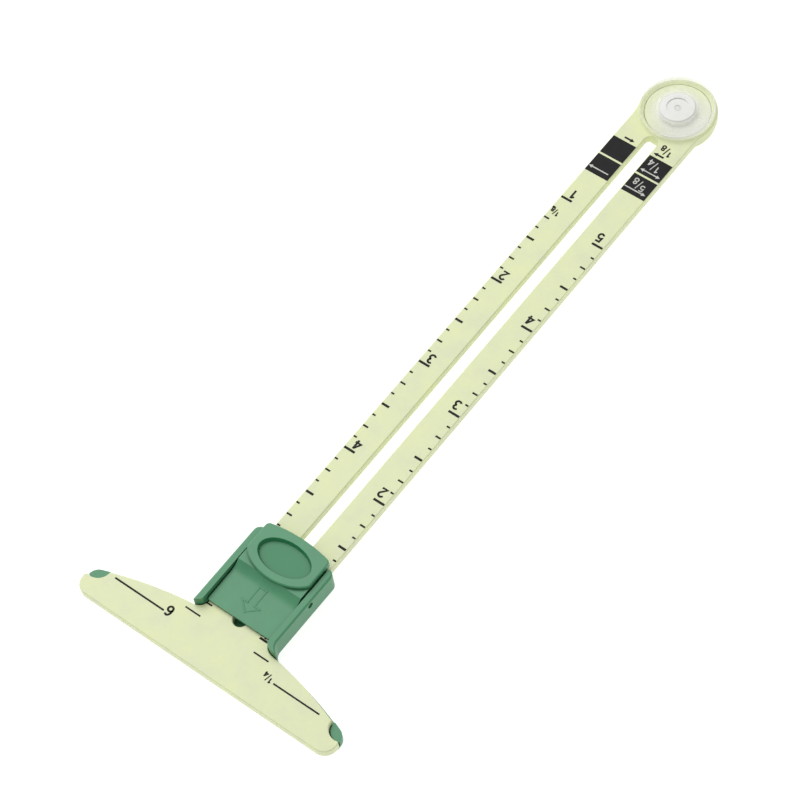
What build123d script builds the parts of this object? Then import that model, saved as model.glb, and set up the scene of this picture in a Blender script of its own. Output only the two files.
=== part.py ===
"""A sliding gauge for sewing: a slotted, printed blade with a T-head, a green
slider with arms of its own and a rocking lock button, and a clear compass
anchor at the round end.

Frame: origin on the middle of the blade's flat edge, X along that edge, Y up
the stem to the round end, Z out of the printed face. Millimetres.
"""
import os

from build123d import *

os.makedirs("parts", exist_ok=True)

# Inch marks of the printed scale, which several places line up with
inch = 25.4
largest_circle = 6.0 * inch
scale_start_to_needle = 7.25

# Blade
blade_thickness = 2.0
stem_width = 0.625 * inch
slot_width = 0.125 * inch
slot_low_y = 13.6
slot_end_wall = 1.3
head_span = 66.0
head_crown_y = 11.6
head_end_height = 5.2
head_lower_corner = 2.9
head_upper_corner = 3.0
neck_radius = 2.6
notch_inset = 1.25
notch_y = 6.7
notch_radius = 2.9
notch_lip_radius = 0.5
end_radius = 8.8
end_blend_radius = 12.0
recess_radius = 7.4
recess_depth = 1.1
anchor_hole_radius = 4.6
blade_edge_break = 0.2

# Slider plate, arms and rails
plate_thickness = 1.0
plate_gap = 0.15
arm_edge_y = 0.125 * inch
arm_end_inset = 0.3
arm_end_overhang = 0.7
arm_crown_overhang = 0.35
arm_upper_corner = 2.4
arm_lower_corner = 0.4
arm_tip_rise = 1.05
arm_tip_gap = 0.3
slider_width = 20.0
slider_end_y = 33.2
slider_end_arc = 35.0
slider_end_corner = 1.6
rail_wall = 1.55
flare_radius = 2.4
rail_foot_reach = 1.4
rail_height = 2.1
rail_gap = 0.16
rail_edge_break = 0.35
plate_edge_break = 0.35
ledge_drop = 0.1

# Guide key, end stud and spring peg, all standing on the plate
guide_gap = 0.1
guide_top_drop = 0.25
key_start_y = 16.6
key_end_y = 25.2
stud_inset = 1.6
peg_height = 0.8

# Marking hole in the plate, for the point of a pencil
marking_hole_radius = 1.2

# Vertices and edges nearer than this are taken as in one place
same_place = 0.01

# Lock button
button_gap = 0.35
button_start_y = 13.2
button_end_y = 34.0
button_end_arc = 35.0
button_end_corner = 1.0
button_start_corner = 0.5
button_low_height = 0.85
button_flat_y = 20.0
button_flat_height = 1.05
button_step_y = 23.4
button_step_height = 2.45
button_step_hollow = 0.12
button_thumb_height = 3.3
button_wall = 1.15
button_skirt = 1.45
button_edge_break = 0.2
nose_start_y = 14.0
nose_length = 1.4
nose_gap = 0.05
underside_gap = 0.2
cavity_start_y = 22.4
thumb_y = 28.4
thumb_rim_long = 8.8
thumb_rim_short = 5.35
thumb_dish_long = 6.4
thumb_dish_short = 3.75
thumb_dish_depth = 0.95
thumb_dish_draft = 0.35
dish_floor_wall = 0.92

# Pivot of the button, moulded stubs in holes of the rails
pivot_y = 23.9
pivot_radius = 0.6
pivot_gap = 0.1
pivot_height = 0.8
pivot_end_inset = 0.4

# Spring under the thumb end of the button, between the key and the end stud
spring_stud_gap = 0.35
spring_radius = 1.05
spring_wire = 0.3
spring_turns = 5.0
wire_facets = 8
spring_peg_gap = 0.15

# Anchor at the round end
knob_gap = 0.15
knob_flange_sink = 0.05
knob_hub_radius = 4.2
knob_hub_height = 1.5
knob_hub_corner = 0.4
knob_dish_radius = 2.5
knob_dish_depth = 0.25
knob_plug_radius = 3.2
needle_radius = 0.35
needle_reach = 1.6
needle_point_length = 1.2
needle_head_depth = 0.6
guard_radius = 5.6
guard_depth = 2.1
guard_spigot_depth = 0.8
guard_spigot_wall = 1.1
guard_well_gap = 0.35
guard_well_end_gap = 0.1
guard_corner = 0.5

# Heights that follow from the sizes above
blade_top = blade_thickness / 2
blade_bottom = -blade_thickness / 2
plate_top = blade_bottom - plate_gap
plate_bottom = plate_top - plate_thickness
rail_top = blade_top + rail_height
guide_top = blade_top - guide_top_drop
pivot_z = blade_top + pivot_height
ledge_z = blade_top - ledge_drop
thumb_top = blade_top + button_thumb_height
dish_floor = thumb_top - thumb_dish_depth
cavity_ceiling = dish_floor - dish_floor_wall

# Places across the head that follow from its span
arm_span = head_span - 2 * arm_end_inset
notch_x = head_span / 2 - notch_inset

# Places along the stem: a pencil at the slot's low end draws the largest circle
end_y = slot_low_y + largest_circle
slot_top_y = end_y - recess_radius - slot_end_wall - slot_width / 2

# Places along the slider: the left scale reads a circle's radius at the arms' edge
marking_hole_y = arm_edge_y + scale_start_to_needle
stud_y = slider_end_y - stud_inset
guide_width = slot_width - 2 * guide_gap
spring_y = stud_y - guide_width / 2 - spring_stud_gap - spring_radius - spring_wire / 2
button_half_width = slider_width / 2 - rail_wall - button_gap
bay_half_width = button_half_width + button_gap


def bar_profile(span, end_height, crown_y, upper_corner):
    """Sketch of a half-moon bar: straight along Y = 0, crowned on its far side."""
    with BuildSketch() as bar:
        with BuildLine():
            Polyline((span / 2, end_height), (span / 2, 0), (-span / 2, 0), (-span / 2, end_height))
            ThreePointArc((-span / 2, end_height), (0, crown_y), (span / 2, end_height))
        make_face()
        fillet(bar.vertices().group_by(Axis.Y)[-1], upper_corner)
    return bar.sketch


def inner_corners(outline, half_width, low_y, high_y):
    """Vertices of an outline that stand on X = +/-half_width between two heights."""
    on_width = outline.vertices().filter_by(lambda v: abs(abs(v.X) - half_width) < same_place)
    return on_width.filter_by_position(Axis.Y, low_y, high_y)


def blade_profile():
    """Sketch of the blade's outline, without its slot, notches and holes."""
    with BuildSketch() as outline:
        add(bar_profile(head_span, head_end_height, head_crown_y, head_upper_corner))
        fillet(outline.vertices().group_by(Axis.Y)[0], head_lower_corner)
        stem_start = head_crown_y / 2
        with Locations((0, stem_start)):
            Rectangle(stem_width, end_y - stem_start, align=(Align.CENTER, Align.MIN))
        with Locations((0, end_y)):
            Circle(end_radius)
        fillet(inner_corners(outline, stem_width / 2, stem_start, 2 * head_crown_y), neck_radius)
        shoulder_y = end_y - 2 * end_radius
        fillet(inner_corners(outline, stem_width / 2, shoulder_y, end_y - slot_width), end_blend_radius)
    return outline.sketch


def plate_profile():
    """Sketch of the slider's plate under the stem, its end arched like the button's."""
    with BuildSketch() as plate:
        with Locations((0, arm_edge_y)):
            Rectangle(slider_width, slider_end_y - arm_edge_y, align=(Align.CENTER, Align.MIN))
        with Locations((0, slider_end_y - slider_end_arc)):
            Circle(slider_end_arc, mode=Mode.INTERSECT)
        fillet(plate.vertices().group_by(Axis.Y)[-1], slider_end_corner)
    return plate.sketch


def slider_profile():
    """Sketch of the slider's outline: arms, flares and the plate under the stem."""
    with BuildSketch() as outline:
        arm_end_height = head_end_height + arm_end_overhang
        arm_crown_y = head_crown_y + arm_crown_overhang
        add(bar_profile(arm_span, arm_end_height, arm_crown_y, arm_upper_corner))
        Rectangle(arm_span, 2 * arm_edge_y, mode=Mode.SUBTRACT)
        fillet(outline.vertices().group_by(Axis.Y)[0], arm_lower_corner)
        add(plate_profile())
        fillet(inner_corners(outline, slider_width / 2, 2 * arm_edge_y, 2 * head_crown_y), flare_radius)
    return outline.sketch


# Scale blade: one moulding with slot, tip notches, recess and anchor hole
with BuildPart() as scale_blade:
    with BuildSketch(Plane.XY.offset(blade_bottom)) as blade_plan:
        add(blade_profile())
        with Locations((notch_x, notch_y), (-notch_x, notch_y)):
            Circle(notch_radius, mode=Mode.SUBTRACT)
        lips = blade_plan.vertices().filter_by_position(Axis.Y, notch_y - notch_radius, notch_y)
        fillet(lips.filter_by(lambda v: abs(v.X) > notch_x), notch_lip_radius)
        with Locations((0, (slot_low_y + slot_top_y) / 2)):
            SlotCenterToCenter(
                slot_top_y - slot_low_y, slot_width, rotation=90, mode=Mode.SUBTRACT
            )
    extrude(amount=blade_thickness)
    chamfer(scale_blade.faces().sort_by(Axis.Z)[-1].edges(), blade_edge_break)
    chamfer(scale_blade.faces().sort_by(Axis.Z)[0].edges(), blade_edge_break)
    with Locations((0, end_y, blade_top)):
        CounterBoreHole(anchor_hole_radius, recess_radius, recess_depth)

    # The one moulding is cut across both ends of its slot into solids that meet
    # face to face: one solid's collision pieces would close the slot
    for slot_end_y in (slot_low_y, slot_top_y):
        split(bisect_by=Plane.XZ.offset(-slot_end_y), keep=Keep.BOTH)
scale_blade.part.label = "scale_blade"

# Slider body: plate and arms below the blade, rails beside it, key in its slot
with BuildPart() as slider_body:
    with BuildSketch(Plane.XY.offset(plate_bottom)):
        add(slider_profile())
        with Locations((0, marking_hole_y)):
            Circle(marking_hole_radius, mode=Mode.SUBTRACT)
    extrude(amount=plate_thickness)

    # Rails, cut to the blade's outline with a running gap. The left one ends
    # straight at the head's crown, the right one has a foot that flares out
    with BuildSketch(Plane.XY.offset(plate_top)):
        add(slider_profile())
        with Locations((-slider_width / 2, arm_edge_y)):
            Rectangle(
                slider_width + rail_foot_reach,
                slider_end_y - arm_edge_y,
                align=Align.MIN,
                mode=Mode.INTERSECT,
            )
        add(offset(blade_profile(), amount=rail_gap, mode=Mode.PRIVATE), mode=Mode.SUBTRACT)
    extrude(amount=rail_top - plate_top)

    # Softened edges where the hand meets the slider
    outer_x = slider_width / 2
    outer = slider_body.edges().filter_by(Axis.Y)
    outer = outer.filter_by(lambda edge: abs(abs(edge.center().X) - outer_x) < same_place)
    chamfer(outer.group_by(Axis.Z)[-1], rail_edge_break)
    chamfer(outer.group_by(Axis.Z)[0], plate_edge_break)

    # Bay between the rails for the button
    with Locations((0, 0, ledge_z)):
        Box(
            2 * bay_half_width,
            2 * slider_end_y,
            rail_top,
            align=(Align.CENTER, Align.CENTER, Align.MIN),
            mode=Mode.SUBTRACT,
        )

    # Raised tips that stand in the notches of the blade's head
    with BuildSketch(Plane.XY.offset(plate_top)):
        with Locations((notch_x, notch_y), (-notch_x, notch_y)):
            Circle(notch_radius - arm_tip_gap)
        add(slider_profile(), mode=Mode.INTERSECT)
    extrude(amount=arm_tip_rise)

    # Guide key and end stud in the slot, with the peg that centres the spring
    with BuildSketch(Plane.XY.offset(plate_top)):
        with Locations((0, (key_start_y + key_end_y) / 2)):
            SlotCenterToCenter(key_end_y - key_start_y, guide_width, rotation=90)
        with Locations((0, stud_y)):
            Circle(guide_width / 2)
    extrude(amount=guide_top - plate_top)
    with BuildSketch(Plane.XY.offset(plate_top)):
        with Locations((0, spring_y)):
            Circle(spring_radius - spring_wire / 2 - spring_peg_gap)
    extrude(amount=peg_height)

    # Pivot holes through both rails
    with Locations(Location((0, pivot_y, pivot_z), (0, 90, 0))):
        Cylinder(pivot_radius + pivot_gap, 2 * slider_width, mode=Mode.SUBTRACT)
slider_body.part.label = "slider_body"

# Lock button: a rocker, thick and hollow at its thumb end, thin at the other
with BuildPart() as lock_button:
    low_top = blade_top + button_low_height
    flat_top = blade_top + button_flat_height
    step_top = blade_top + button_step_height
    under = blade_top + underside_gap
    skirt_z = thumb_top - button_skirt
    nose_z = blade_top + nose_gap
    with BuildSketch(Plane.YZ):
        with BuildLine():
            Polyline(
                (button_start_y, low_top),
                (button_start_y, under),
                (nose_start_y, under),
                (nose_start_y, nose_z),
                (nose_start_y + nose_length, nose_z),
                (nose_start_y + nose_length, under),
                (pivot_y + pivot_radius, under),
                (button_end_y, skirt_z),
                (button_end_y, step_top),
                (button_step_y, step_top),
            )
            ThreePointArc(
                (button_step_y, step_top),
                (
                    (button_step_y + button_flat_y) / 2 + button_step_hollow * (step_top - flat_top),
                    (step_top + flat_top) / 2 - button_step_hollow * (button_step_y - button_flat_y),
                ),
                (button_flat_y, flat_top),
            )
            Line((button_flat_y, flat_top), (button_start_y, low_top))
        make_face()
    extrude(amount=button_half_width, both=True)

    # Thumb platform with its oval rim
    with BuildSketch(Plane.XY.offset(skirt_z)):
        with Locations((0, thumb_y)):
            Ellipse(thumb_rim_long, thumb_rim_short)
            Rectangle(
                2 * button_half_width, button_end_y - thumb_y, align=(Align.CENTER, Align.MIN)
            )
    extrude(amount=button_skirt)

    # Plan outline with the arched thumb end
    with BuildSketch(Plane.XY.offset(blade_bottom)) as button_plan:
        with Locations((0, button_start_y)):
            Rectangle(
                2 * button_half_width,
                button_end_y - button_start_y,
                align=(Align.CENTER, Align.MIN),
            )
        with Locations((0, button_end_y - button_end_arc)):
            Circle(button_end_arc, mode=Mode.INTERSECT)
        fillet(button_plan.vertices().group_by(Axis.Y)[-1], button_end_corner)
        fillet(button_plan.vertices().group_by(Axis.Y)[0], button_start_corner)
    extrude(amount=2 * thumb_top, mode=Mode.INTERSECT)

    # Hollow under the thumb end
    with BuildSketch(Plane.YZ):
        with BuildLine():
            Polyline(
                (cavity_start_y, blade_bottom),
                (cavity_start_y, under),
                (cavity_start_y + cavity_ceiling - under, cavity_ceiling),
                (button_end_y - 2 * button_wall, cavity_ceiling),
                (button_end_y - 2 * button_wall, blade_bottom),
                close=True,
            )
        make_face()
    extrude(amount=button_half_width - button_wall, both=True, mode=Mode.SUBTRACT)

    # Dished thumb recess
    with BuildSketch(Plane.XY.offset(thumb_top)):
        with Locations((0, thumb_y)):
            Ellipse(thumb_dish_long, thumb_dish_short)
    with BuildSketch(Plane.XY.offset(dish_floor)):
        with Locations((0, thumb_y)):
            Ellipse(thumb_dish_long - thumb_dish_draft, thumb_dish_short - thumb_dish_draft)
    loft(mode=Mode.SUBTRACT)

    # Softened rim of the thumb platform
    rim = lock_button.faces().filter_by(Plane.XY).sort_by(Axis.Z)[-1]
    chamfer(rim.outer_wire().edges(), button_edge_break)

    # Pivot stubs
    stub_length = slider_width - 2 * pivot_end_inset
    with Locations(Location((0, pivot_y, pivot_z), (0, 90, 0))):
        Cylinder(pivot_radius, stub_length)
lock_button.part.label = "lock_button"

# Button spring: a steel coil standing on the plate inside the slot
with BuildPart() as button_spring:
    coil_low = plate_top + spring_wire / 2
    coil_length = cavity_ceiling - plate_top - spring_wire
    with BuildLine(Plane(origin=(0, spring_y, coil_low))) as coil:
        Helix(coil_length / spring_turns, coil_length, spring_radius)
    with BuildSketch(Plane(origin=coil.line @ 0, z_dir=coil.line % 0)):
        RegularPolygon(spring_wire / 2, wire_facets)
    sweep(path=coil.line, is_frenet=True)
button_spring.part.label = "button_spring"

# Anchor knob: a clear flange in the recess, hub above and plug below
flange_radius = recess_radius - knob_gap
flange_low = blade_top - recess_depth
flange_top = blade_top - knob_flange_sink
hub_top = flange_top + knob_hub_height
needle_top = hub_top - knob_dish_depth - needle_head_depth
needle_tip = blade_bottom - needle_reach
with BuildPart() as anchor_knob:
    with BuildSketch(Plane.XZ.offset(-end_y)):
        with BuildLine():
            Polyline(
                (0, blade_bottom),
                (knob_plug_radius, blade_bottom),
                (knob_plug_radius, flange_low),
                (flange_radius, flange_low),
                (flange_radius, flange_top),
                (knob_hub_radius, flange_top),
                (knob_hub_radius, hub_top),
                (knob_dish_radius, hub_top),
                (knob_dish_radius, hub_top - knob_dish_depth),
                (0, hub_top - knob_dish_depth),
                close=True,
            )
        make_face()
    revolve(axis=Axis((0, end_y, 0), (0, 0, 1)))
    hub_rim = anchor_knob.edges().filter_by(GeomType.CIRCLE)
    hub_rim = hub_rim.filter_by_position(Axis.Z, hub_top, hub_top).sort_by(SortBy.RADIUS)[-1]
    chamfer(hub_rim, knob_hub_corner)
    with Locations((0, end_y, blade_bottom)):
        Cylinder(
            needle_radius,
            needle_top - blade_bottom,
            align=(Align.CENTER, Align.CENTER, Align.MIN),
            mode=Mode.SUBTRACT,
        )
anchor_knob.part.label = "anchor_knob"

# Anchor needle: a short steel pin with a conical point
with BuildPart() as anchor_needle:
    with BuildSketch(Plane.XZ.offset(-end_y)):
        with BuildLine():
            Polyline(
                (0, needle_top),
                (needle_radius, needle_top),
                (needle_radius, needle_tip + needle_point_length),
                (0, needle_tip),
                close=True,
            )
        make_face()
    revolve(axis=Axis((0, end_y, 0), (0, 0, 1)))
anchor_needle.part.label = "anchor_needle"

# Pin guard: a clear cap whose spigot sits in the anchor hole round the plug
guard_low = blade_bottom - guard_depth
guard_well_floor = needle_tip - guard_well_end_gap
spigot_radius = anchor_hole_radius - knob_gap
with BuildPart() as pin_guard:
    with BuildSketch(Plane.XZ.offset(-end_y)):
        with BuildLine():
            Polyline(
                (0, guard_low),
                (guard_radius, guard_low),
                (guard_radius, blade_bottom - knob_gap),
                (spigot_radius, blade_bottom - knob_gap),
                (spigot_radius, blade_bottom + guard_spigot_depth),
                (spigot_radius - guard_spigot_wall, blade_bottom + guard_spigot_depth),
                (spigot_radius - guard_spigot_wall, blade_bottom - knob_gap),
                (needle_radius + guard_well_gap, blade_bottom - knob_gap),
                (needle_radius + guard_well_gap, guard_well_floor),
                (0, guard_well_floor),
                close=True,
            )
        make_face()
    revolve(axis=Axis((0, end_y, 0), (0, 0, 1)))
    guard_rim = pin_guard.edges().filter_by(GeomType.CIRCLE)
    guard_rim = guard_rim.filter_by_position(Axis.Z, guard_low, guard_low)
    chamfer(guard_rim.sort_by(SortBy.RADIUS)[-1], guard_corner)
pin_guard.part.label = "pin_guard"

for piece in (
    scale_blade,
    slider_body,
    lock_button,
    button_spring,
    anchor_knob,
    anchor_needle,
    pin_guard,
):
    export_step(piece.part, f"parts/{piece.part.label}.step")
    print(piece.part.label, len(piece.part.solids()), round(piece.part.volume, 3))
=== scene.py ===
"""Looks of the multifunction sliding gauge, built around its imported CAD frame.

The CAD nodes keep their shapes and get the finishes of the real mouldings. What
a moulding's solid can't carry is built here in pieces of its own: the printed
scales and legend, the relief arrow on the rocking lock button, the wound
spring, the knob's clear disc and the rim under the round end. Everything is in
metres in the row frame: X along the blade's flat edge, Y up the stem, Z out of
the printed face.
"""

import logging
import math
from dataclasses import dataclass, field
from enum import Enum
from typing import Any, Iterable, Sequence

import bmesh
import bpy
from mathutils import Matrix, Vector
from mathutils.bvhtree import BVHTree


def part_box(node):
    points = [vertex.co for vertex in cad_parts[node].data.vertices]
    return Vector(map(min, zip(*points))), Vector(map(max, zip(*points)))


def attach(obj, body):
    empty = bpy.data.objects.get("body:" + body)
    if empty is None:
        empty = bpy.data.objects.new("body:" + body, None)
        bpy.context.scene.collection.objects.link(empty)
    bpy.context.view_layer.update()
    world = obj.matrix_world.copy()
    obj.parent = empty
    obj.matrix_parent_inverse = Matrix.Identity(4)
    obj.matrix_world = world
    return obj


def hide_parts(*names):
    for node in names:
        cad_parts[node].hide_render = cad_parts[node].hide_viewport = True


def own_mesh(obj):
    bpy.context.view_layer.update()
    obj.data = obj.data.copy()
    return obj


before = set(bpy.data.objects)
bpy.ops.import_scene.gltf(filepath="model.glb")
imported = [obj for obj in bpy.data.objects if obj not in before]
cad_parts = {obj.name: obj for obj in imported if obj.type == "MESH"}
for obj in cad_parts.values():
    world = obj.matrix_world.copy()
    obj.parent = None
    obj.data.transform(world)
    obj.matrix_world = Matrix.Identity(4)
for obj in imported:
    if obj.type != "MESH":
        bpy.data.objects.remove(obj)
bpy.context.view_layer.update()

LOG = logging.getLogger("sliding_gauge")
MM = 0.001
INCH = 25.4

Point = tuple[float, float]
Place = tuple[float, float, float]
Colour = tuple[float, float, float, float]
Stops = Sequence[tuple[float, str | float]]
Tree = bpy.types.NodeTree
Socket = bpy.types.NodeSocket
Corner = bmesh.types.BMVert

# The Mix node repeats its socket names for each kind of data, so they go by number
FACTOR, NUMBER_A, NUMBER_B, COLOUR_A, COLOUR_B = 0, 2, 3, 6, 7
NUMBER_OUT, COLOUR_OUT = 0, 2


# ---------------------------------------------------------------- helpers


def linear(hex_colour: str) -> Colour:
    """Turns an sRGB hex colour into a linear one, by the standard's own curve.

    Args:
        hex_colour: Six hex digits with a leading #.

    Returns:
        Linear red, green, blue and an alpha of 1.
    """
    values = [int(hex_colour[i : i + 2], 16) / 255 for i in (1, 3, 5)]
    red, green, blue = (
        v / 12.92 if v <= 0.04045 else ((v + 0.055) / 1.055) ** 2.4 for v in values
    )
    return red, green, blue, 1.0


def per_metre(size_mm: float) -> float:
    """Texture scale that gives a pattern of this size in millimetres."""
    return 1 / (size_mm * MM)


def add_node(
    tree: Tree,
    kind: str,
    inputs: dict[str | int, Any] | None = None,
    stops: Stops = (),
    **settings: Any,
) -> bpy.types.Node:
    """Adds a shader node with its settings and its links.

    Args:
        tree: The material's node tree.
        kind: The node's Blender type name, without its ShaderNode.
        inputs: Values or sockets to link, by input name or number.
        stops: A ramp's places from 0 to 1, each with its hex colour or number.
        **settings: The node's own properties.

    Returns:
        The new node.
    """
    node = tree.nodes.new("ShaderNode" + kind)
    for name, value in settings.items():
        setattr(node, name, value)
    for key, value in (inputs or {}).items():
        if isinstance(value, Socket):
            tree.links.new(value, node.inputs[key])
        else:
            node.inputs[key].default_value = value
    if stops:
        elements = node.color_ramp.elements
        while len(elements) < len(stops):
            elements.new(0.5)  # anywhere: each stop sets its own place below
        for element, (place, colour) in zip(elements, stops):
            element.position = place
            if isinstance(colour, str):
                element.color = linear(colour)
            else:
                element.color = (colour, colour, colour, 1.0)
    return node


# --------------------------------------------------------------- finishes


class Role(Enum):
    """The finishes of the CAD nodes, by the record's slot names."""

    CREAM = "cream_plastic"
    GREEN = "green_plastic"
    BUTTON = "green_button_plastic"
    CLEAR = "clear_plastic"
    SPRING = "spring_steel"
    NEEDLE = "needle_steel"


@dataclass(frozen=True)
class Finish:
    """What all finishes share: a name, and one surface shader with its patterns."""

    name: str

    def make(self) -> bpy.types.Material:
        """Builds the material.

        Returns:
            The material, with its surface shader's inputs set or linked.
        """
        material = bpy.data.materials.new(self.name)
        material.use_nodes = True
        tree = material.node_tree
        tree.nodes.clear()
        place = add_node(tree, "TexCoord").outputs["Object"]
        shader = add_node(tree, "BsdfPrincipled", self.surface(tree, place))
        add_node(tree, "OutputMaterial", {"Surface": shader.outputs["BSDF"]})
        return material

    def surface(self, tree: Tree, place: Socket) -> dict[str, Any]:
        """Works out the surface shader's inputs, as each finish does in its own way.

        Args:
            tree: The material's node tree.
            place: The socket with the place on the object.

        Returns:
            Values and sockets, by the shader's input names.
        """
        raise NotImplementedError

    def relief(
        self,
        tree: Tree,
        place: Socket,
        size_mm: float,
        depth_mm: float,
        swirl: float = 0.0,
    ) -> Socket:
        """Gives the surface a fine unevenness of real size.

        Args:
            tree: The material's node tree.
            place: The socket with the place on the object.
            size_mm: How wide its humps are.
            depth_mm: How high they stand.
            swirl: How far they are drawn into each other.

        Returns:
            The socket with the uneven surface's normal.
        """
        humps = add_node(
            tree,
            "TexNoise",
            {"Vector": place, "Scale": per_metre(size_mm), "Distortion": swirl},
        ).outputs["Fac"]
        bump = {"Height": humps, "Distance": depth_mm * MM}
        return add_node(tree, "Bump", bump).outputs["Normal"]


@dataclass(frozen=True)
class SatinAbs(Finish):
    """ABS, injection moulded against a fine spark-eroded tool.

    The tool leaves a satin skin: broad soft highlights, a grain that is only
    felt as a slight unevenness of the shine, and colour that drifts gently
    where the melt flowed. Seams and inner corners get painted shade: their
    colour is drawn deeper and more saturated where little of the open is near.
    """

    stops: Stops
    flow_mm: float = 5.0
    flow_octaves: float = 3.0
    # The tool's real grain is finer than 0.05 mm: drawn this coarse to show at all
    grain_mm: float = 0.16
    grain_depth_mm: float = 0.004
    roughness: float = 0.42
    roughness_drift: float = 0.08
    ior: float = 1.53
    specular: float = 0.5
    scatter: float = 0.0
    scatter_mm: Place = (0.6, 0.7, 0.3)
    # Painted shade: this colour is laid into seams and inner corners found by ambient
    # occlusion, and the fields below set how far that reaches
    seam: str | None = None
    seam_reach_mm: float = 1.0
    seam_open: float = 0.8
    seam_closed: float = 0.35
    seam_alone: bool = False
    seam_samples: int = 8
    # The thumb dish's painted shade, with its smoother shine
    recess: "SmoothRecess | None" = None

    def surface(self, tree: Tree, place: Socket) -> dict[str, Any]:
        """Works out the surface shader's inputs.

        Args:
            tree: The material's node tree.
            place: The socket with the place on the object.

        Returns:
            Values and sockets, by the shader's input names.
        """
        drift = {"Scale": per_metre(self.flow_mm), "Detail": self.flow_octaves}
        flow = add_node(tree, "TexNoise", {"Vector": place, **drift}).outputs["Fac"]
        colour = add_node(tree, "ValToRGB", {"Fac": flow}, self.stops).outputs["Color"]
        shine = {
            "Value": flow,
            "To Min": self.roughness - self.roughness_drift,
            "To Max": self.roughness + self.roughness_drift,
        }
        rough = add_node(tree, "MapRange", shine).outputs["Result"]
        # Painted shade laid over the moulding's colour: in the thumb dish and in the
        # seams
        painted_shades: list[tuple[Socket, str]] = []
        if self.recess:
            inside = self.recess.mask(tree, place)
            painted_shades.append((inside, self.recess.colour))
            dish = {FACTOR: inside, NUMBER_A: rough, NUMBER_B: self.recess.roughness}
            rough = add_node(tree, "Mix", dish).outputs[NUMBER_OUT]
        if self.seam:
            painted_shades.append((self.seams(tree), self.seam))
        for where, over in painted_shades:
            paint = {FACTOR: where, COLOUR_A: colour, COLOUR_B: linear(over)}
            colour = add_node(tree, "Mix", paint, data_type="RGBA").outputs[COLOUR_OUT]
        return {
            "Base Color": colour,
            "Roughness": rough,
            "Normal": self.relief(tree, place, self.grain_mm, self.grain_depth_mm),
            "Specular IOR Level": self.specular,
            "IOR": self.ior,
            "Subsurface Weight": self.scatter,
            "Subsurface Radius": self.scatter_mm,
            "Subsurface Scale": MM,
        }

    def seams(self, tree: Tree) -> Socket:
        """Finds the seams and inner corners, where shade is painted, by how little of
        the open is near.

        Args:
            tree: The material's node tree.

        Returns:
            The socket with a factor that is 1 in seams and 0 in the open.
        """
        open_share = add_node(
            tree,
            "AmbientOcclusion",
            {"Distance": self.seam_reach_mm * MM},
            samples=self.seam_samples,
            only_local=self.seam_alone,
        ).outputs["AO"]
        span = {
            "Value": open_share,
            "From Min": self.seam_closed,
            "From Max": self.seam_open,
            "To Min": 1.0,
            "To Max": 0.0,
        }
        return add_node(tree, "MapRange", span).outputs["Result"]


@dataclass(frozen=True)
class SmoothRecess:
    """The thumb dish, which the tool's insert leaves smooth, with painted shade that
    deepens its colour.
    """

    # Painted shade: the darker green laid over the dish
    colour: str
    centre_mm: Place
    radii_mm: Point
    top_mm: float
    roughness: float = 0.38
    edge: float = 0.03

    def mask(self, tree: Tree, place: Socket) -> Socket:
        """Finds the inside of the dish.

        Args:
            tree: The material's node tree.
            place: The socket with the place on the object.

        Returns:
            The socket with a factor that is 1 inside the dish.
        """
        centre = [c * MM for c in self.centre_mm]
        away = add_node(
            tree, "VectorMath", {0: place, 1: centre}, operation="SUBTRACT"
        ).outputs["Vector"]
        shares = (*(per_metre(radius) for radius in self.radii_mm), 0.0)
        scaled = add_node(
            tree, "VectorMath", {0: away, 1: shares}, operation="MULTIPLY"
        ).outputs["Vector"]
        radius = add_node(
            tree, "VectorMath", {0: scaled}, operation="LENGTH"
        ).outputs["Value"]
        rim = {
            "Value": radius,
            "From Min": 1.0,
            "From Max": 1.0 + self.edge,
            "To Min": 1.0,
            "To Max": 0.0,
        }
        within = add_node(tree, "MapRange", rim).outputs["Result"]
        height = add_node(tree, "SeparateXYZ", {0: place}).outputs["Z"]
        below = add_node(
            tree, "Math", {0: height, 1: self.top_mm * MM}, operation="LESS_THAN"
        ).outputs[0]
        return add_node(
            tree, "Math", {0: within, 1: below}, operation="MULTIPLY"
        ).outputs[0]


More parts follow.
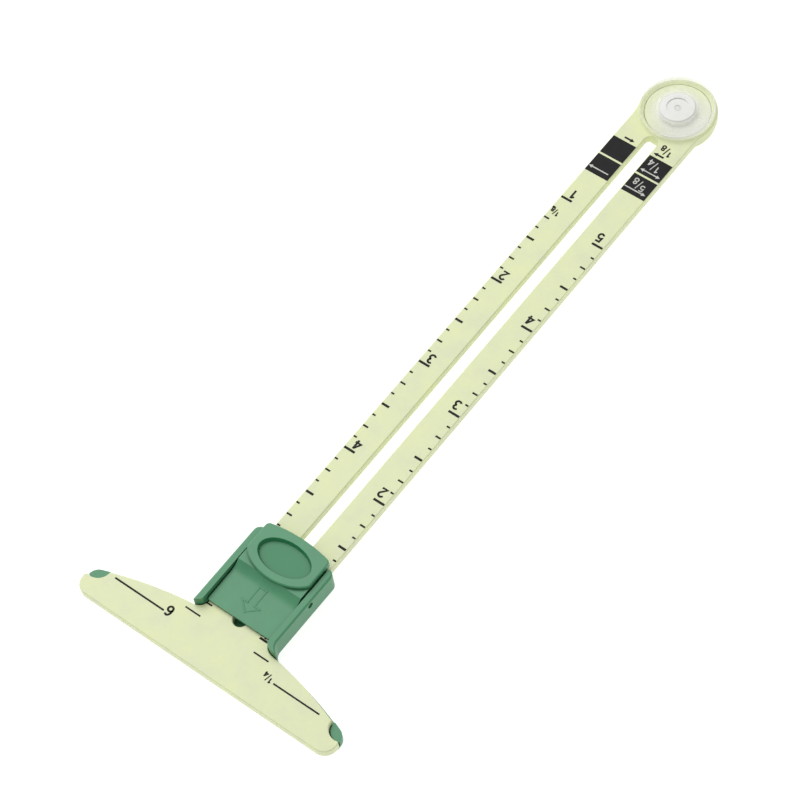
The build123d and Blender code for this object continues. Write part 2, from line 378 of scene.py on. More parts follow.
@dataclass(frozen=True)
class ClearStyrene(Finish):
    """Crystal polystyrene, injection moulded in a polished tool.

    The thin parts are clear, so the cream below shows through them. The thick
    hub is drawn whitish. Towards one side, +X and -Y, the tint blends into a
    side tint and the cover rises to at least a side cover.
    """

    tints: Stops
    cover: Stops
    axis_mm: Place = (0.0, 166.0, 0.0)
    reach_mm: float = 8.5
    cloud: str = "#EBEBE4"
    cloud_cover: float = 0.5
    cloud_way: Place = (0.87, -0.5, 0.0)
    cloud_span_mm: Point = (-1.0, 7.0)
    roughness: float = 0.14
    ior: float = 1.59
    ripple_mm: float = 2.2
    ripple_depth_mm: float = 0.03
    ripple_swirl: float = 1.2

    def surface(self, tree: Tree, place: Socket) -> dict[str, Any]:
        """Works out the surface shader's inputs.

        Args:
            tree: The material's node tree.
            place: The socket with the place on the object.

        Returns:
            Values and sockets, by the shader's input names.
        """
        axis = [c * MM for c in self.axis_mm]
        away = add_node(
            tree, "VectorMath", {0: place, 1: axis}, operation="SUBTRACT"
        ).outputs["Vector"]
        flat = add_node(
            tree, "VectorMath", {0: away, 1: (1.0, 1.0, 0.0)}, operation="MULTIPLY"
        ).outputs["Vector"]
        length = add_node(
            tree, "VectorMath", {0: flat}, operation="LENGTH"
        ).outputs["Value"]
        share = add_node(
            tree, "Math", {0: length, 1: self.reach_mm * MM}, operation="DIVIDE"
        ).outputs[0]
        toward_side = self.clouds(tree, flat)
        tint = add_node(tree, "ValToRGB", {"Fac": share}, self.tints).outputs["Color"]
        milky = {FACTOR: toward_side, COLOUR_A: tint, COLOUR_B: linear(self.cloud)}
        cover = add_node(tree, "ValToRGB", {"Fac": share}, self.cover).outputs["Color"]
        denser = add_node(
            tree, "Math", {0: cover, 1: self.cloud_cover}, operation="MAXIMUM"
        ).outputs[0]
        dense = {FACTOR: toward_side, NUMBER_A: cover, NUMBER_B: denser}
        return {
            "Base Color": add_node(
                tree, "Mix", milky, data_type="RGBA"
            ).outputs[COLOUR_OUT],
            "Alpha": add_node(tree, "Mix", dense).outputs[NUMBER_OUT],
            "IOR": self.ior,
            "Roughness": self.roughness,
            "Normal": self.relief(
                tree, place, self.ripple_mm, self.ripple_depth_mm, self.ripple_swirl
            ),
        }

    def clouds(self, tree: Tree, flat: Socket) -> Socket:
        """Finds the side with its own tint.

        Args:
            tree: The material's node tree.
            flat: The socket with the place across the axis.

        Returns:
            The socket with a factor that grows from 0 to 1 towards that side.
        """
        along = add_node(
            tree, "VectorMath", {0: flat, 1: self.cloud_way}, operation="DOT_PRODUCT"
        ).outputs["Value"]
        low, high = self.cloud_span_mm
        span = {"Value": along, "From Min": low * MM, "From Max": high * MM}
        return add_node(tree, "MapRange", span).outputs["Result"]


@dataclass(frozen=True)
class DrawnSteel(Finish):
    """Carbon steel wire, drawn through a die.

    Drawing leaves the wire bright and finely scored, so the highlights are
    long and slightly broken, brighter where the wire turns to the light.
    """

    colour: str
    roughness: float = 0.24
    # Real die lines are some 0.01 mm apart: drawn this coarse to show at all
    score_mm: float = 0.06
    score_depth_mm: float = 0.002

    def surface(self, tree: Tree, place: Socket) -> dict[str, Any]:
        """Works out the surface shader's inputs.

        Args:
            tree: The material's node tree.
            place: The socket with the place on the object.

        Returns:
            Values and sockets, by the shader's input names.
        """
        return {
            "Base Color": linear(self.colour),
            "Metallic": 1.0,
            "Roughness": self.roughness,
            "Normal": self.relief(tree, place, self.score_mm, self.score_depth_mm),
        }


@dataclass(frozen=True)
class PadInk(Finish):
    """Solvent ink, pad printed in one thin coat.

    The film is matt and nearly even, a little thinner towards some places,
    where the plastic below warms it.
    """

    full: str
    thin: str
    cover_mm: float = 0.7
    cover_octaves: float = 3.0
    full_to: float = 0.35
    thin_from: float = 0.75
    roughness: float = 0.6
    specular: float = 0.2

    def surface(self, tree: Tree, place: Socket) -> dict[str, Any]:
        """Works out the surface shader's inputs.

        Args:
            tree: The material's node tree.
            place: The socket with the place on the object.

        Returns:
            Values and sockets, by the shader's input names.
        """
        film = {"Scale": per_metre(self.cover_mm), "Detail": self.cover_octaves}
        cover = add_node(tree, "TexNoise", {"Vector": place, **film}).outputs["Fac"]
        stops = ((self.full_to, self.full), (self.thin_from, self.thin))
        colour = add_node(tree, "ValToRGB", {"Fac": cover}, stops).outputs["Color"]
        return {
            "Base Color": colour,
            "Roughness": self.roughness,
            "Specular IOR Level": self.specular,
        }


@dataclass(frozen=True)
class LitAcrylic(Finish):
    """Opal acrylic sheet of a product table, lit from below.

    The light that comes through it is even and strong, so the ground is pure
    white and the object's shadow is nearly drowned. Its face is matted.
    """

    colour: str = "#A6A6A4"
    light: str = "#FFFFFD"
    glow: float = 0.84
    roughness: float = 0.9
    specular: float = 0.1
    matting_mm: float = 0.8
    matting_depth_mm: float = 0.01

    def surface(self, tree: Tree, place: Socket) -> dict[str, Any]:
        """Works out the surface shader's inputs.

        Args:
            tree: The material's node tree.
            place: The socket with the place on the object.

        Returns:
            Values and sockets, by the shader's input names.
        """
        return {
            "Base Color": linear(self.colour),
            "Roughness": self.roughness,
            "Specular IOR Level": self.specular,
            "Emission Color": linear(self.light),
            "Emission Strength": self.glow,
            "Normal": self.relief(tree, place, self.matting_mm, self.matting_depth_mm),
        }


# Each finish of the CAD nodes, matched to the real moulding
FINISHES: dict[Role, Finish] = {
    # Pale and a little waxy: some light goes in and comes out warmer
    Role.CREAM: SatinAbs(
        "cream_abs_satin_moulded",
        ((0.3, "#D6DCB4"), (0.5, "#DBE1B4"), (0.7, "#DFE5B2")),
        scatter=0.12,
        # Painted shade: a deeper cream laid into its seams and corners
        seam="#BFC692",
        seam_open=0.7,
        seam_closed=0.15,
        seam_alone=True,
    ),
    # A calm mid green with a soft sheen, with painted shade that is nearly black only
    # in the tightest gaps
    Role.GREEN: SatinAbs(
        "green_abs_satin_moulded",
        ((0.3, "#478962"), (0.7, "#4E9168")),
        roughness=0.38,
        specular=0.4,
        seam="#0B3319",
        seam_open=0.42,
        seam_closed=0.05,
    ),
    # The same green, a shade lighter, with painted shade in its dish and beside the
    # rails
    Role.BUTTON: SatinAbs(
        "green_button_abs_satin_moulded",
        ((0.3, "#478962"), (0.7, "#4F936A")),
        roughness=0.38,
        specular=0.4,
        seam="#12472A",
        seam_reach_mm=1.6,
        recess=SmoothRecess("#2E8154", (0.0, 28.4, 0.0), (6.4, 3.75), 4.25),
    ),
    # A whitish hub with a darker ring round the needle, in a milky flange
    Role.CLEAR: ClearStyrene(
        "clear_styrene_polished_moulded",
        (
            (0.0, "#F2F2F0"),
            (0.06, "#D6D6D3"),
            (0.1, "#F0F0EE"),
            (0.48, "#F4F4F0"),
            (0.54, "#F8FBE6"),
            (0.84, "#F4FACE"),
        ),
        ((0.0, 0.8), (0.48, 0.8), (0.54, 0.78), (0.84, 0.8)),
    ),
    # Grey and bright, as wire straight off the die
    Role.SPRING: DrawnSteel("spring_steel_drawn", "#A5A6A8"),
    # The same wire polished, so it mirrors more and looks lighter
    Role.NEEDLE: DrawnSteel("needle_steel_polished", "#C4C5C7", roughness=0.14),
}

# Thin and nearly invisible, but for its raised edge and a whiter, denser side
THIN_CLEAR = ClearStyrene(
    "clear_styrene_thin_moulded",
    ((0.5, "#FFFFF8"), (0.7, "#FDFFE6"), (0.92, "#FAFFDC"), (0.97, "#F4F7E6")),
    ((0.5, 0.34), (0.62, 0.14), (0.9, 0.08), (0.94, 0.16), (0.98, 0.42)),
    cloud="#FFFFF8",
    cloud_cover=0.32,
)

# Matt black with brown thin places, an evener black on large areas, and white
BLACK_INK = PadInk("thin_black_ink", "#171714", "#24241F")
BOX_INK = PadInk("solid_black_ink", "#171718", "#1E1E20", cover_mm=2.0)
WHITE_INK = PadInk("white_ink", "#D2D2CC", "#B8B8B0")


# ------------------------------------------------------ meshes and print


@dataclass
class Shell:
    """A closed mesh, gathered in millimetres, that becomes one piece."""

    mesh: bmesh.types.BMesh = field(default_factory=bmesh.new, kw_only=True)

    def ring(self, places: Iterable[Sequence[float]]) -> list[Corner]:
        """Adds corners at these places in millimetres and returns them."""
        return [self.mesh.verts.new(Vector(place) * MM) for place in places]

    def skin(
        self, rings: Sequence[list[Corner]], endless: bool = False, smooth: bool = False
    ) -> None:
        """Joins rings side by side, and closes the first and the last one.

        Args:
            rings: Rings with as many corners each, in order.
            endless: Whether the last ring joins the first, so none is closed.
            smooth: Whether the sides are shaded as one curve.
        """
        following = [*rings[1:], rings[0]] if endless else rings[1:]
        for one, two in zip(rings, following):
            for i, corner in enumerate(one):
                j = (i + 1) % len(one)
                side = self.mesh.faces.new((corner, one[j], two[j], two[i]))
                side.smooth = smooth
        if not endless:
            self.mesh.faces.new(rings[0][::-1])
            self.mesh.faces.new(rings[-1])

    def piece(
        self,
        name: str,
        material: bpy.types.Material,
        body: str,
        role: Role | None = None,
        sharp_degrees: float | None = None,
    ) -> bpy.types.Object:
        """Closes the mesh into a piece that rides on a body, and reports it.

        Args:
            name: The piece's name.
            material: Its finish.
            body: The CAD body that it moves with.
            role: The record's slot that its finish is from, if there is one; not used.
            sharp_degrees: The angle from which a smooth edge is shaded sharp.

        Returns:
            The new object.
        """
        bmesh.ops.recalc_face_normals(self.mesh, faces=self.mesh.faces)
        data = bpy.data.meshes.new(name)
        self.mesh.to_mesh(data)
        self.mesh.free()
        data.materials.append(material)
        if sharp_degrees is not None:
            data.set_sharp_from_angle(angle=math.radians(sharp_degrees))
        made = bpy.data.objects.new(name, data)
        bpy.context.scene.collection.objects.link(made)
        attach(made, body)
        LOG.info("%s: %d faces, on %s", name, len(data.polygons), body)
        return made


@dataclass(frozen=True)
class Bow:
    """Part of an ellipse in a stroke, from one angle to another in degrees."""

    centre: Point
    radii: Point
    start: float
    end: float
    steps: int = 14

    def points(self) -> list[Point]:
        """Works out the bow's points.

        Returns:
            Points along the bow, in order.
        """
        turns = [
            math.radians(self.start + (self.end - self.start) * i / self.steps)
            for i in range(self.steps + 1)
        ]
        (cx, cy), (rx, ry) = self.centre, self.radii
        return [(cx + rx * math.cos(a), cy + ry * math.sin(a)) for a in turns]


Stroke = tuple[Bow | Point, ...]

# Plain sans-serif numerals, one unit high and centred on their own width
NUMERALS: dict[str, tuple[Stroke, ...]] = {
    "1": (
        ((-0.21, 0.72), (0.05, 0.94)),
        ((0.07, 0.0), (0.07, 1.0)),
    ),
    "2": (
        (Bow((0.0, 0.70), (0.25, 0.24), 165, -35), (-0.27, 0.06), (0.28, 0.06)),
    ),
    "3": (
        (
            Bow((-0.01, 0.73), (0.22, 0.21), 150, -80),
            Bow((0.0, 0.29), (0.26, 0.24), 80, -155),
        ),
    ),
    "4": (
        ((0.11, 0.0), (0.11, 1.0)),
        ((0.08, 0.93), (-0.30, 0.29), (0.31, 0.29)),
    ),
    "5": (
        (
            (0.25, 0.94),
            (-0.17, 0.94),
            (-0.22, 0.49),
            Bow((0.0, 0.32), (0.25, 0.27), 130, -150),
        ),
    ),
    "6": (
        (
            Bow((0.02, 0.50), (0.27, 0.45), 48, 190),
            Bow((0.0, 0.30), (0.25, 0.25), 180, 540),
        ),
    ),
    "8": (
        (Bow((0.0, 0.74), (0.20, 0.20), 90, 450),),
        (Bow((0.0, 0.28), (0.26, 0.24), 90, 450),),
    ),
}


class Tick(Enum):
    """Length and width in millimetres of each kind of scale mark."""

    WHOLE = (2.75, 0.55)
    HALF = (1.9, 0.55)
    QUARTER = (1.3, 0.42)
    EIGHTH = (0.8, 0.4)

    @classmethod
    def of(cls, eighths: int) -> "Tick":
        """Picks the kind of mark for a value.

        Args:
            eighths: The value in eighths of an inch.

        Returns:
            The mark's kind.
        """
        for step, kind in ((8, cls.WHOLE), (4, cls.HALF), (2, cls.QUARTER)):
            if eighths % step == 0:
                return kind
        return cls.EIGHTH


@dataclass(frozen=True)
class HeadLine:
    """A line along the T-head, by its two ends, its height in inches and its width."""

    left: float
    right: float
    inches: float
    width: float


@dataclass(frozen=True)
class Fraction:
    """A slanted fraction, by the middle of its slash, its numerals' height and weight.

    Its proportions are shares of that height, and slash_weight is one of the weight.
    """

    over: str
    under: str
    centre: Point
    height: float
    weight: float
    numeral_aside: float = 0.66
    numeral_shift: float = 0.3
    slash_lean: float = 0.16
    slash_rise: float = 0.72
    slash_weight: float = 0.8


@dataclass(frozen=True)
class Arrow:
    """An arrow with a filled head, by its ends, its shaft's width and its head's size.

    Its shaft starts inside the head, shaft_start of the head's size from the tip.
    """

    tail: Point
    tip: Point
    weight: float
    head: float
    double: bool = False
    shaft_start: float = 0.9


@dataclass
class InkSheet(Shell):
    """Thin printed marks that are gathered into one piece.

    Each mark is a closed prism that stands on the printed face. Marks that
    cross are given heights that differ by a hair, so no two faces coincide.
    """

    base_mm: float
    height_mm: float = 0.02
    hair_mm: float = 0.0012
    hair_steps: int = 5
    # A corner is drawn out by this factor at most, and one folded back not at all
    mitre_limit: float = 1.8
    fold_limit: float = 0.2
    count: int = 0

    def next_top(self) -> float:
        """Counts one more mark.

        Returns:
            The height of its upper face in millimetres.
        """
        hairs = self.count % self.hair_steps
        self.count += 1
        return self.base_mm + self.height_mm + self.hair_mm * hairs

    def prism(self, outline: Sequence[Point]) -> None:
        """Adds a flat mark with this simple outline.

        Args:
            outline: Corners in millimetres, in order round the mark.
        """
        heights = (self.base_mm, self.next_top())
        self.skin([self.ring([(x, y, z) for x, y in outline]) for z in heights])

    def bar(self, low: Point, high: Point) -> None:
        """Adds an upright rectangle between two corners in millimetres."""
        (x0, y0), (x1, y1) = low, high
        self.prism(((x0, y0), (x1, y0), (x1, y1), (x0, y1)))

    def ribbon(self, line: Sequence[Point], width: float) -> None:
        """Adds a stroke of even width along a line.

        Args:
            line: The stroke's middle line in millimetres.
            width: The stroke's width in millimetres.
        """
        top, rings = self.next_top(), []
        for i, (x, y) in enumerate(line):
            before = Vector(line[max(i - 1, 0)])
            after = Vector(line[min(i + 1, len(line) - 1)])
            here = Vector((x, y))
            arrive = (here - before).normalized() if i else (after - here).normalized()
            leave = (after - here).normalized() if i < len(line) - 1 else arrive
            across = arrive + leave
            if across.length < self.fold_limit:
                across = arrive
            across.normalize()
            side = Vector((-across.y, across.x))
            lean = abs(side.dot(Vector((-arrive.y, arrive.x))))
            reach = side * width / 2 / max(lean, 1 / self.mitre_limit)
            a, b, low = here + reach, here - reach, self.base_mm
            rings.append(self.ring([(*a, top), (*b, top), (*b, low), (*a, low)]))
        self.skin(rings)

    def numeral(
        self, character: str, centre: Point, height: float, weight: float
    ) -> None:
        """Adds a numeral that is turned half round, as all print on the blade is.

        Args:
            character: The numeral.
            centre: The middle of the numeral in millimetres.
            height: The numeral's height in millimetres.
            weight: The width of its strokes in millimetres.
        """
        cx, cy = centre
        for stroke in NUMERALS[character]:
            line: list[Point] = []
            for part in stroke:
                line += part.points() if isinstance(part, Bow) else [part]
            placed = [(cx - u * height, cy - (v - 0.5) * height) for u, v in line]
            self.ribbon(placed, weight)

    def fraction(self, mark: Fraction) -> None:
        """Adds a slanted fraction, turned half round.

        Args:
            mark: The fraction.
        """
        (cx, cy), size = mark.centre, mark.height
        aside, shift = mark.numeral_aside * size, mark.numeral_shift * size
        self.numeral(mark.over, (cx + aside, cy - shift), size, mark.weight)
        self.numeral(mark.under, (cx - aside, cy + shift), size, mark.weight)
        lean, rise = mark.slash_lean * size, mark.slash_rise * size
        slash = ((cx + lean, cy + rise), (cx - lean, cy - rise))
        self.ribbon(slash, mark.weight * mark.slash_weight)

    def arrow(self, mark: Arrow) -> None:
        """Adds an arrow with a filled head at its tip, or at both ends.

        Args:
            mark: The arrow.
        """
        start, end = Vector(mark.tail), Vector(mark.tip)
        along = (end - start).normalized()
        across = Vector((-along.y, along.x)) * mark.head / 2
        ends = [(end, along)] + ([(start, -along)] if mark.double else [])
        for point, way in ends:
            foot = point - way * mark.head
            self.prism([tuple(point), tuple(foot + across), tuple(foot - across)])
        inset = along * mark.head * mark.shaft_start
        shaft = (start + inset if mark.double else start, end - inset)
        self.ribbon([tuple(place) for place in shaft], mark.weight)


# ----------------------------------------------------------- sub-assemblies


@dataclass
class Mouldings:
    """The CAD nodes, whose shapes stay and which get their real finishes."""

    made: dict[Role, bpy.types.Material]
    roles: dict[str, Role] = field(
        default_factory=lambda: {
            "scale_blade": Role.CREAM,
            "slider_body": Role.GREEN,
            "lock_button": Role.BUTTON,
            "button_spring": Role.SPRING,
            "anchor_knob": Role.CLEAR,
            "anchor_needle": Role.NEEDLE,
            "pin_guard": Role.CLEAR,
        }
    )

    def build(self) -> None:
        """Dresses the CAD nodes."""
        for name, role in self.roles.items():
            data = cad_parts[name].data
            data.materials.clear()
            data.materials.append(self.made[role])
            LOG.info("%s dressed in %s", name, self.made[role].name)


@dataclass
class PrintedBlade:
    """The cream blade's two inch scales, head marks and legend, in millimetres."""

    black: bpy.types.Material
    box_black: bpy.types.Material
    white: bpy.types.Material
    face: float = 1.0
    black_film: float = 0.02
    white_film: float = 0.012
    tick_outer_x: float = 7.7
    right_eighths: range = range(5, 41)
    left_eighths: range = range(8, 46)
    left_zero_inches: float = 6.25
    numeral_values: range = range(1, 6)
    numeral_height: float = 2.3
    numeral_weight: float = 0.46
    right_numeral: Point = (5.6, 2.1)
    left_numeral: Point = (-5.7, 1.75)
    left_note: Fraction = Fraction("1", "8", (-6.4, 129.2), 1.1, 0.3)
    head_lines: tuple[HeadLine, ...] = (
        HeadLine(-27.1, -14.1, 1 / 4, 0.4),
        HeadLine(14.4, 26.1, 1 / 4, 0.36),
        HeadLine(-11.0, -7.1, 3 / 8, 0.35),
        HeadLine(6.8, 10.6, 3 / 8, 0.35),
        HeadLine(-8.1, -6.65, 1 / 2, 0.35),
        HeadLine(5.8, 7.8, 1 / 2, 0.5),
    )
    head_numeral: str = "6"
    head_numeral_at: Point = (-13.1, 6.9)
    head_fractions: tuple[Fraction, ...] = (
        Fraction("1", "4", (12.7, 6.8), 1.2, 0.3),
        Fraction("1", "2", (5.9, 14.25), 1.5, 0.34),
    )
    box_x: Point = (1.8, 7.8)
    box_rows: tuple[Point, ...] = ((147.7, 152.9), (142.05, 147.2))
    box_fractions: tuple[Fraction, ...] = (
        Fraction("1", "4", (4.35, 150.8), 1.7, 0.26),
        Fraction("5", "8", (4.5, 145.0), 1.7, 0.26),
    )
    box_arrows: tuple[Arrow, ...] = (
        Arrow((2.2, 148.8), (7.3, 148.8), 0.28, 0.9, double=True),
        Arrow((1.9, 143.3), (7.3, 143.3), 0.28, 0.9),
        Arrow((-2.6, 143.5), (-7.7, 143.5), 0.28, 0.9),
    )
    slot_fraction: Fraction = Fraction("1", "8", (4.3, 155.55), 1.5, 0.34)
    slot_arrows: tuple[Arrow, ...] = (
        Arrow((-5.5, 153.8), (-2.9, 153.8), 0.45, 1.0),
        Arrow((4.8, 153.8), (2.2, 153.8), 0.45, 1.0),
    )

    def build(self) -> None:
        """Builds all of the blade's print."""
        self.scales()
        self.head_marks()
        self.legend()

    def sheet(self) -> InkSheet:
        """An empty sheet of black print on the blade's face."""
        return InkSheet(self.face, self.black_film)

    def scale(
        self, sheet: InkSheet, side: int, eighths: Iterable[int], zero: float | None
    ) -> None:
        """Adds one scale's marks.

        Args:
            sheet: The sheet that takes the marks.
            side: 1 for the right edge and -1 for the left one.
            eighths: The values to mark, in eighths of an inch.
            zero: Inches where a downward scale starts, or None for an upward one.
        """
        for value in eighths:
            inches = value / 8 if zero is None else zero - value / 8
            length, width = Tick.of(value).value
            inner_x = self.tick_outer_x - length
            x0, x1 = sorted((side * self.tick_outer_x, side * inner_x))
            y = inches * INCH
            sheet.bar((x0, y - width / 2), (x1, y + width / 2))

    def scales(self) -> None:
        """Builds the marks and numerals of both scales."""
        right, left = self.sheet(), self.sheet()
        self.scale(right, 1, self.right_eighths, None)
        self.scale(left, -1, self.left_eighths, self.left_zero_inches)
        right.piece("right_scale_marks", self.black, "blade")
        left.piece("left_scale_marks", self.black, "blade")

        right, left = self.sheet(), self.sheet()
        size = (self.numeral_height, self.numeral_weight)
        for value in self.numeral_values:
            for sheet, (x, lift), inches in (
                (right, self.right_numeral, value),
                (left, self.left_numeral, self.left_zero_inches - value),
            ):
                sheet.numeral(str(value), (x, inches * INCH + lift), *size)
        left.fraction(self.left_note)
        right.piece("right_scale_numerals", self.black, "blade")
        left.piece("left_scale_numerals", self.black, "blade")

    def head_marks(self) -> None:
        """Builds the lines and numerals on the T-head and beside the slider."""
        lines = self.sheet()
        for line in self.head_lines:
            y = line.inches * INCH
            lines.bar((line.left, y - line.width / 2), (line.right, y + line.width / 2))
        lines.piece("head_lines", self.black, "blade")
        values = self.sheet()
        size = (self.numeral_height, self.numeral_weight)
        values.numeral(self.head_numeral, self.head_numeral_at, *size)
        for mark in self.head_fractions:
            values.fraction(mark)
        values.piece("head_numerals", self.black, "blade")

    def legend(self) -> None:
        """Builds the boxes near the round end, with their lettering and arrows."""
        boxes = self.sheet()
        near, far = self.box_x
        for low, high in self.box_rows:
            boxes.bar((near, low), (far, high))
            boxes.bar((-far, low), (-near, high))
        boxes.piece("legend_boxes", self.box_black, "blade")

        on_boxes = self.face + self.black_film
        letters = InkSheet(on_boxes, self.white_film)
        for mark in self.box_fractions:
            letters.fraction(mark)
        letters.piece("legend_lettering", self.white, "blade")
        arrows = InkSheet(on_boxes, self.white_film)
        for mark in self.box_arrows:
            arrows.arrow(mark)
        arrows.piece("legend_arrows", self.white, "blade")

        note = self.sheet()
        note.fraction(self.slot_fraction)
        for mark in self.slot_arrows:
            note.arrow(mark)
        note.piece("slot_width_note", self.black, "blade")


@dataclass
class RockingButton:
    """The lock button's relief arrow, which points at the head, in millimetres."""

    material: bpy.types.Material
    tip_y: float = 15.2
    head_y: float = 17.2
    head_half: float = 2.25
    shaft_half: float = 0.9
    shaft_end_y: float = 21.2
    ridge_width: float = 0.42
    ridge_height: float = 0.1
    # Across and up, as shares of half the ridge's width and of its height
    section: tuple[Point, ...] = (
        (-1.0, -0.05),
        (-0.62, 0.8),
        (0.0, 1.0),
        (0.62, 0.8),
        (1.0, -0.05),
    )
    spacing: float = 0.25
    probe_from: float = 20.0

    def build(self) -> None:
        """Builds the raised outline of the arrow, which rides on the button."""
        outline = (
            (0.0, self.tip_y),
            (self.head_half, self.head_y),
            (self.shaft_half, self.head_y),
            (self.shaft_half, self.shaft_end_y),
            (-self.shaft_half, self.shaft_end_y),
            (-self.shaft_half, self.head_y),
            (-self.head_half, self.head_y),
        )
        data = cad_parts["lock_button"].data
        faces = BVHTree.FromPolygons(
            [vertex.co.copy() for vertex in data.vertices],
            [tuple(polygon.vertices) for polygon in data.polygons],
        )
        shell = Shell()
        for start, end in zip(outline, (*outline[1:], outline[0])):
            self.ridge(shell, faces, Vector(start), Vector(end))
        shell.piece("button_arrow_relief", self.material, "lock_button", Role.BUTTON)

    def height_at(self, faces: BVHTree, x: float, y: float) -> float:
        """Height of the button's face over a place, all in millimetres."""
        above = Vector((x, y, self.probe_from)) * MM
        return faces.ray_cast(above, Vector((0, 0, -1)))[0].z / MM

    def ridge(self, shell: Shell, faces: BVHTree, start: Vector, end: Vector) -> None:
        """Adds one straight ridge with a softened top that follows the face.

        Args:
            shell: The mesh that takes the ridge.
            faces: The button's faces.
            start: Where the ridge starts in millimetres.
            end: Where it ends in millimetres.
        """
        half = (end - start).normalized() * self.ridge_width / 2
        side = Vector((-half.y, half.x))
        start, end = start - half, end + half
        count = max(2, round((end - start).length / self.spacing))
        rings = []
        for i in range(count + 1):
            middle = start.lerp(end, i / count)
            ring = []
            for across, lift in self.section:
                x, y = middle + side * across
                z = self.height_at(faces, x, y) + lift * self.ridge_height
                ring.append((x, y, z))
            rings.append(shell.ring(ring))
        shell.skin(rings)


@dataclass
class CoilSpring:
    """The steel coil under the button's thumb end, wound from round wire.

    It stands where the CAD coil does.
    Lengths are in millimetres.
    """

    material: bpy.types.Material
    wire: float = 0.3
    turns: float = 5.0
    steps: int = 150
    sides: int = 10
    pivot_y: float = 23.9
    press_degrees: float = 8.0
    clearance: float = 0.05

    def build(self) -> None:
        """Builds the coil, which stands for the CAD one."""
        low, high = (Vector(corner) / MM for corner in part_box("button_spring"))
        middle, half_wire = (low + high) / 2, self.wire / 2
        radius = (high.x - low.x) / 2 - half_wire
        rise = high.z - low.z - self.wire
        shell, rings = Shell(), []
        for i in range(self.steps + 1):
            turn = 2 * math.pi * self.turns * i / self.steps
            out = Vector((math.cos(turn), math.sin(turn), 0.0))
            wire_z = low.z + half_wire + rise * i / self.steps
            wire = Vector((middle.x, middle.y, wire_z)) + out * radius
            ring = []
            for j in range(self.sides):
                way = 2 * math.pi * j / self.sides
                lift = Vector((0.0, 0.0, math.sin(way)))
                ring.append(wire + (out * math.cos(way) + lift) * half_wire)
            rings.append(shell.ring(ring))
        shell.skin(rings, smooth=True)
        coil = shell.piece("wound_spring", self.material, "slider", Role.SPRING)
        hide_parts("button_spring")
        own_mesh(coil)


@dataclass
class RoundEnd:
    """The clear disc that covers the blade's round end, and the thick rim below it.

    The disc is the knob's own wide cap and rises with it. The rim is moulded on
    the blade's underside, round the guard, and makes the end look twice as thick.
    Each profile gives radius and height in millimetres.
    """

    thin_clear: bpy.types.Material
    clear: bpy.types.Material
    cream: bpy.types.Material
    axis_y: float = 166.0
    steps: int = 96
    sharp_degrees: float = 40.0
    disc: tuple[Point, ...] = (
        (4.1, 1.03),
        (8.0, 1.03),
        (8.3, 1.25),
        (8.4, 1.7),
        (8.4, 2.35),
        (8.3, 2.5),
        (8.1, 2.54),
        (7.9, 2.44),
        (7.6, 2.22),
        (6.6, 2.12),
        (4.1, 2.2),
    )
    gate_ring: tuple[Point, ...] = (
        (0.55, 2.17),
        (0.85, 2.17),
        (0.8, 2.27),
        (0.6, 2.27),
    )
    rim: tuple[Point, ...] = (
        (5.95, -0.985),
        (8.5, -0.985),
        (8.5, -2.1),
        (8.3, -2.3),
        (5.95, -2.3),
    )

    def build(self) -> None:
        """Builds the disc, the gate's ring and the rim, each turned round the axis."""
        for name, profile, material, role, body in (
            ("anchor_disc", self.disc, self.thin_clear, Role.CLEAR, "anchor_pin"),
            ("gate_ring", self.gate_ring, self.clear, Role.CLEAR, "anchor_pin"),
            ("round_end_rim", self.rim, self.cream, Role.CREAM, "blade"),
        ):
            shell, rings = Shell(), []
            for i in range(self.steps):
                turn = 2 * math.pi * i / self.steps
                x, y = math.cos(turn), math.sin(turn)
                ring = [(r * x, self.axis_y + r * y, z) for r, z in profile]
                rings.append(shell.ring(ring))
            shell.skin(rings, endless=True, smooth=True)
            shell.piece(name, material, body, role, self.sharp_degrees)


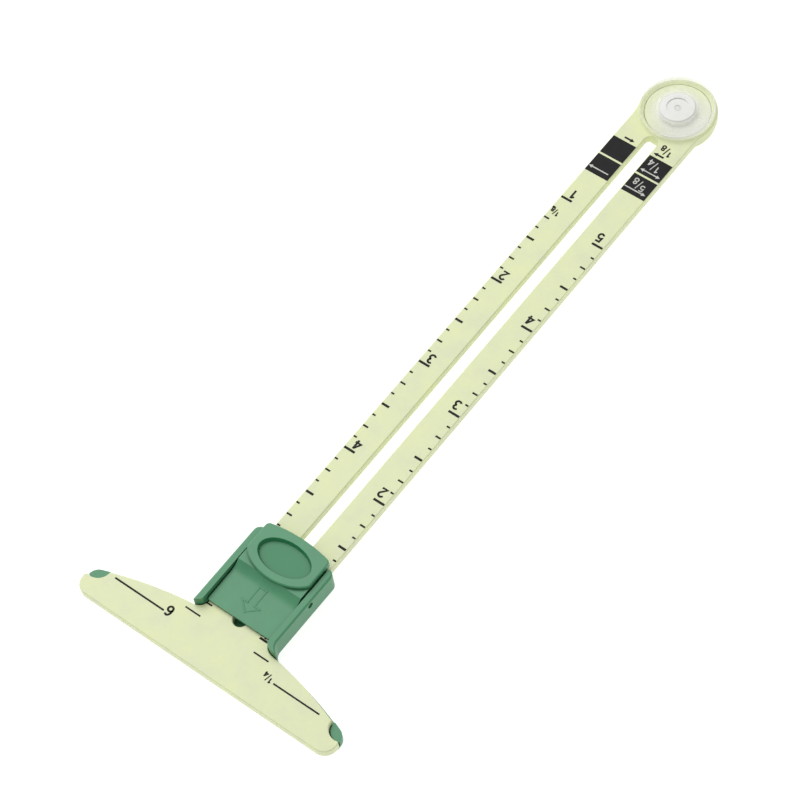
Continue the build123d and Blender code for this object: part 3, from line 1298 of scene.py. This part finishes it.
@dataclass
class Studio:
    """Opal acrylic ground, soft light from the upper left, and the camera."""

    lens_mm: float = 132.28
    sensor_mm: float = 36.0
    clip: Point = (0.01, 20.0)
    camera_mm: Place = (230.618, -151.969, 518.466)
    right: Place = (0.78796, 0.60838, -0.09482)
    up: Place = (-0.48014, 0.70353, 0.52393)
    back: Place = (0.38546, -0.36731, 0.84646)
    floor_span: float = 4.0
    floor_point_mm: Place = (0.0, 3.175, -2.15)
    floor_slope: float = -0.00602
    sky: float = 0.62
    key_watts: float = 7.5
    key_size: float = 1.1
    key_place: Place = (-0.62, 0.28, 0.95)
    key_aim: Place = (0.0, 0.08, 0.0)

    def build(self) -> None:
        """Builds the ground, the light and the camera."""
        self.ground()
        self.light()
        self.camera()
        bpy.context.scene.view_settings.view_transform = "Standard"

    def ground(self) -> None:
        """Builds the floor that the slider's plate and the pin guard rest on."""
        half = self.floor_span / 2
        _, y0, z0 = (c * MM for c in self.floor_point_mm)
        corners = [
            (x, y, z0 + (y - y0) * self.floor_slope)
            for x, y in ((-half, -half), (half, -half), (half, half), (-half, half))
        ]
        data = bpy.data.meshes.new("studio_floor")
        data.from_pydata(corners, [], [tuple(range(len(corners)))])
        data.materials.append(LitAcrylic("opal_acrylic_lit_from_below").make())
        floor = bpy.data.objects.new("studio_floor", data)
        bpy.context.scene.collection.objects.link(floor)

    def light(self) -> None:
        """Builds the even sky and the soft key light."""
        world = bpy.data.worlds.new("studio_sky")
        world.use_nodes = True
        background = world.node_tree.nodes["Background"]
        background.inputs["Color"].default_value = linear("#FFFFFF")
        background.inputs["Strength"].default_value = self.sky
        bpy.context.scene.world = world
        lamp = bpy.data.lights.new("soft_key", "AREA")
        lamp.shape = "DISK"
        lamp.size = self.key_size
        lamp.energy = self.key_watts
        holder = bpy.data.objects.new("soft_key", lamp)
        holder.location = self.key_place
        aim = Vector(self.key_aim) - Vector(self.key_place)
        holder.rotation_euler = aim.to_track_quat("-Z", "Y").to_euler()
        bpy.context.scene.collection.objects.link(holder)

    def camera(self) -> None:
        """Sets the camera that was solved from the scale's inch marks."""
        data = bpy.data.cameras.new("photo_camera")
        data.lens = self.lens_mm
        data.sensor_width = self.sensor_mm
        data.clip_start, data.clip_end = self.clip
        holder = bpy.data.objects.new("photo_camera", data)
        bpy.context.scene.collection.objects.link(holder)
        turn = Matrix((self.right, self.up, self.back)).transposed().to_4x4()
        holder.matrix_world = Matrix.Translation(Vector(self.camera_mm) * MM) @ turn
        bpy.context.scene.camera = holder


def main() -> None:
    """Builds the studio and then the gauge, sub-assembly by sub-assembly."""
    logging.basicConfig(level=logging.INFO, format="%(message)s")
    made = {role: finish.make() for role, finish in FINISHES.items()}
    for assembly in (
        Studio(),
        Mouldings(made),
        PrintedBlade(BLACK_INK.make(), BOX_INK.make(), WHITE_INK.make()),
        RockingButton(made[Role.BUTTON]),
        CoilSpring(made[Role.SPRING]),
        RoundEnd(THIN_CLEAR.make(), made[Role.CLEAR], made[Role.CREAM]),
    ):
        assembly.build()
        LOG.info("%s is built", type(assembly).__name__)


if __name__ == "__main__":
    main()
